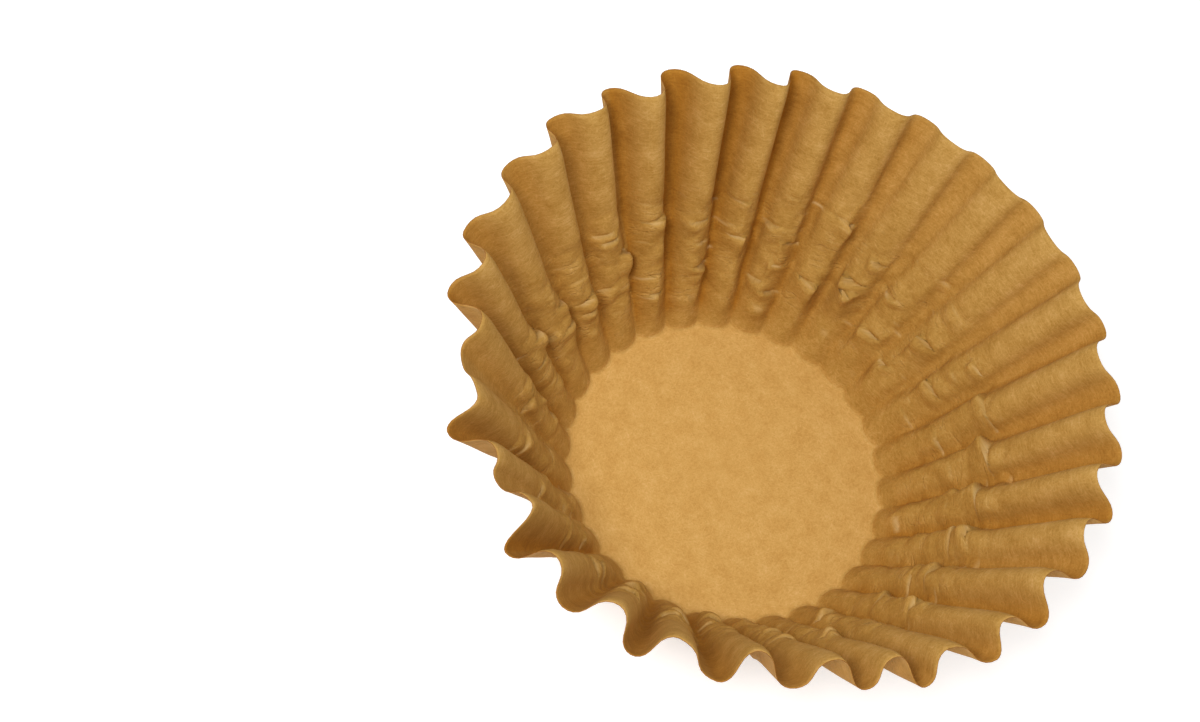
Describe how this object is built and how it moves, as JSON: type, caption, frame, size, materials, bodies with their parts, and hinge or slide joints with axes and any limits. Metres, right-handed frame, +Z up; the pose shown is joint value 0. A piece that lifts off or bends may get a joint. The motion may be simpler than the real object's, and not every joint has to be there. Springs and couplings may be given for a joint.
{
  "type": "paper coffee filter",
  "caption": "Flat-bottomed basket coffee filter with a fluted, flared wall, pressed from one disc of unbleached brown paper.",
  "frame": {"origin": "middle of the underside of the flat base", "axes": "+Z up along the axis of the cup, +X through the middle of a crest, where the wall bulges inward"},
  "size_m": [0.1812, 0.1822, 0.07],
  "materials": {
    "unbleached_paper": "matte"
  },
  "bodies": {
    "root": {"filter_paper": "unbleached_paper"}
  },
  "joints": []
}
